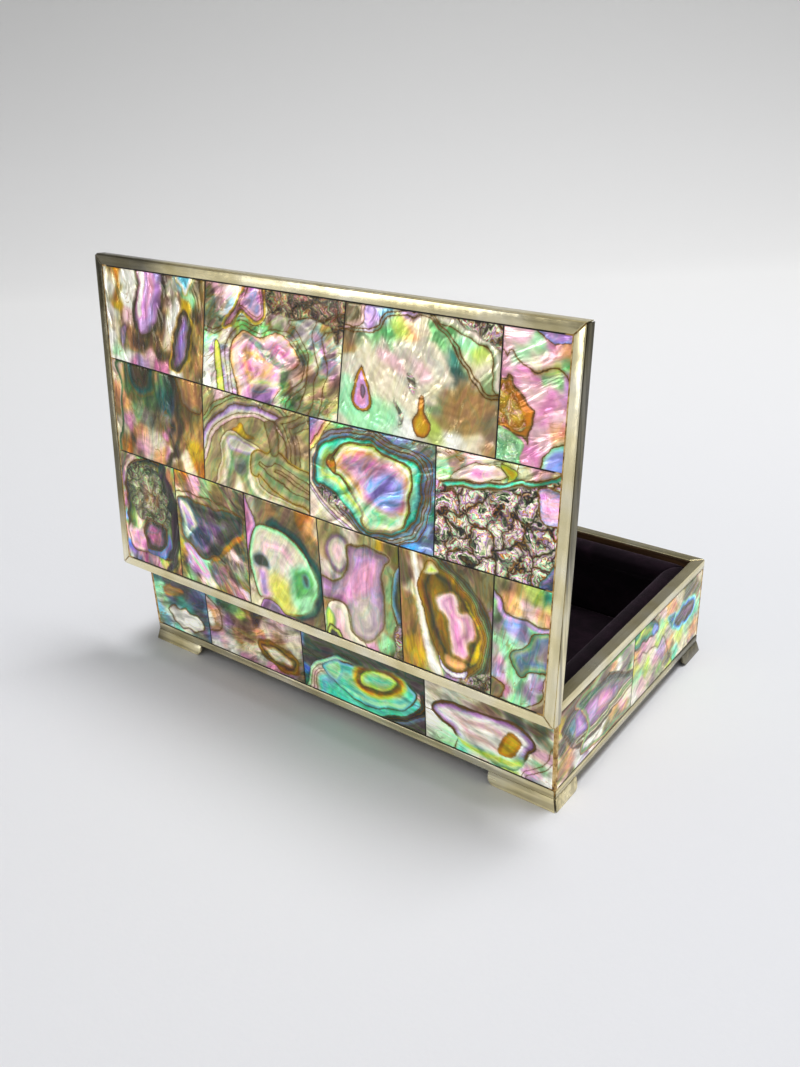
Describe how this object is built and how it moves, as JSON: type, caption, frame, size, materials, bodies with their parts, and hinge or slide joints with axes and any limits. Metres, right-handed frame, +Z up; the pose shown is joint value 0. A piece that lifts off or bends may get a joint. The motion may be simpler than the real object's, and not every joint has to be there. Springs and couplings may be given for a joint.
{
  "type": "vanity box",
  "caption": "Small rectangular trinket box on four bracket feet, faced with shell tiles in metal edging, with a velvet lining and a hinged lid that stands open.",
  "frame": {"origin": "on the table, under the middle of the whole part with its lid open", "axes": "+X along the box to its right-hand end as seen from the front, +Y from the front to the hinge, +Z up"},
  "size_m": [0.1536, 0.097, 0.1245],
  "materials": {
    "abalone_shell": "polished, iridescent",
    "dark_resin": "satin",
    "plum_velvet": "velvet pile",
    "wood": "plain",
    "nickel_silver": "brushed and worn",
    "hinge_metal": "drawn"
  },
  "bodies": {
    "box": {"base_angle_front": "nickel_silver", "base_angle_left": "nickel_silver", "base_angle_rear": "nickel_silver", "base_angle_right": "nickel_silver", "bottom_panel": "wood", "floor_pad": "plum_velvet", "foot_front_left": "nickel_silver", "foot_front_right": "nickel_silver", "foot_rear_left": "nickel_silver", "foot_rear_right": "nickel_silver", "front_wall": "wood", "hinge_leaf_body": "hinge_metal", "hinge_pin": "hinge_metal", "left_wall": "wood", "lining_front": "plum_velvet", "lining_left": "plum_velvet", "lining_rear": "plum_velvet", "lining_right": "plum_velvet", "rear_wall": "wood", "resin_bed_front": "dark_resin", "resin_bed_left": "dark_resin", "resin_bed_rear": "dark_resin", "resin_bed_right": "dark_resin", "right_wall": "wood", "rim_angle_front": "nickel_silver", "rim_angle_left": "nickel_silver", "rim_angle_rear": "nickel_silver", "rim_angle_right": "nickel_silver", "shell_tiles_front": "abalone_shell", "shell_tiles_left": "abalone_shell", "shell_tiles_rear": "abalone_shell", "shell_tiles_right": "abalone_shell"},
    "lid": {"hinge_leaf_lid": "hinge_metal", "lid_board": "wood", "lid_edge_front": "nickel_silver", "lid_edge_left": "nickel_silver", "lid_edge_rear": "nickel_silver", "lid_edge_right": "nickel_silver", "lid_face_strip_front": "nickel_silver", "lid_face_strip_left": "nickel_silver", "lid_face_strip_rear": "nickel_silver", "lid_face_strip_right": "nickel_silver", "lid_lining": "plum_velvet", "lid_resin_bed": "dark_resin", "lid_shell_row_1": "abalone_shell", "lid_shell_row_2": "abalone_shell", "lid_shell_row_3": "abalone_shell"}
  },
  "joints": [
    {"name": "lid_hinge", "type": "hinge", "parent": "box", "child": "lid", "pos_m": [0, 0.04341, 0.03065], "axis": [-1, 0, 0], "range_deg": [-85, 105]}
  ]
}
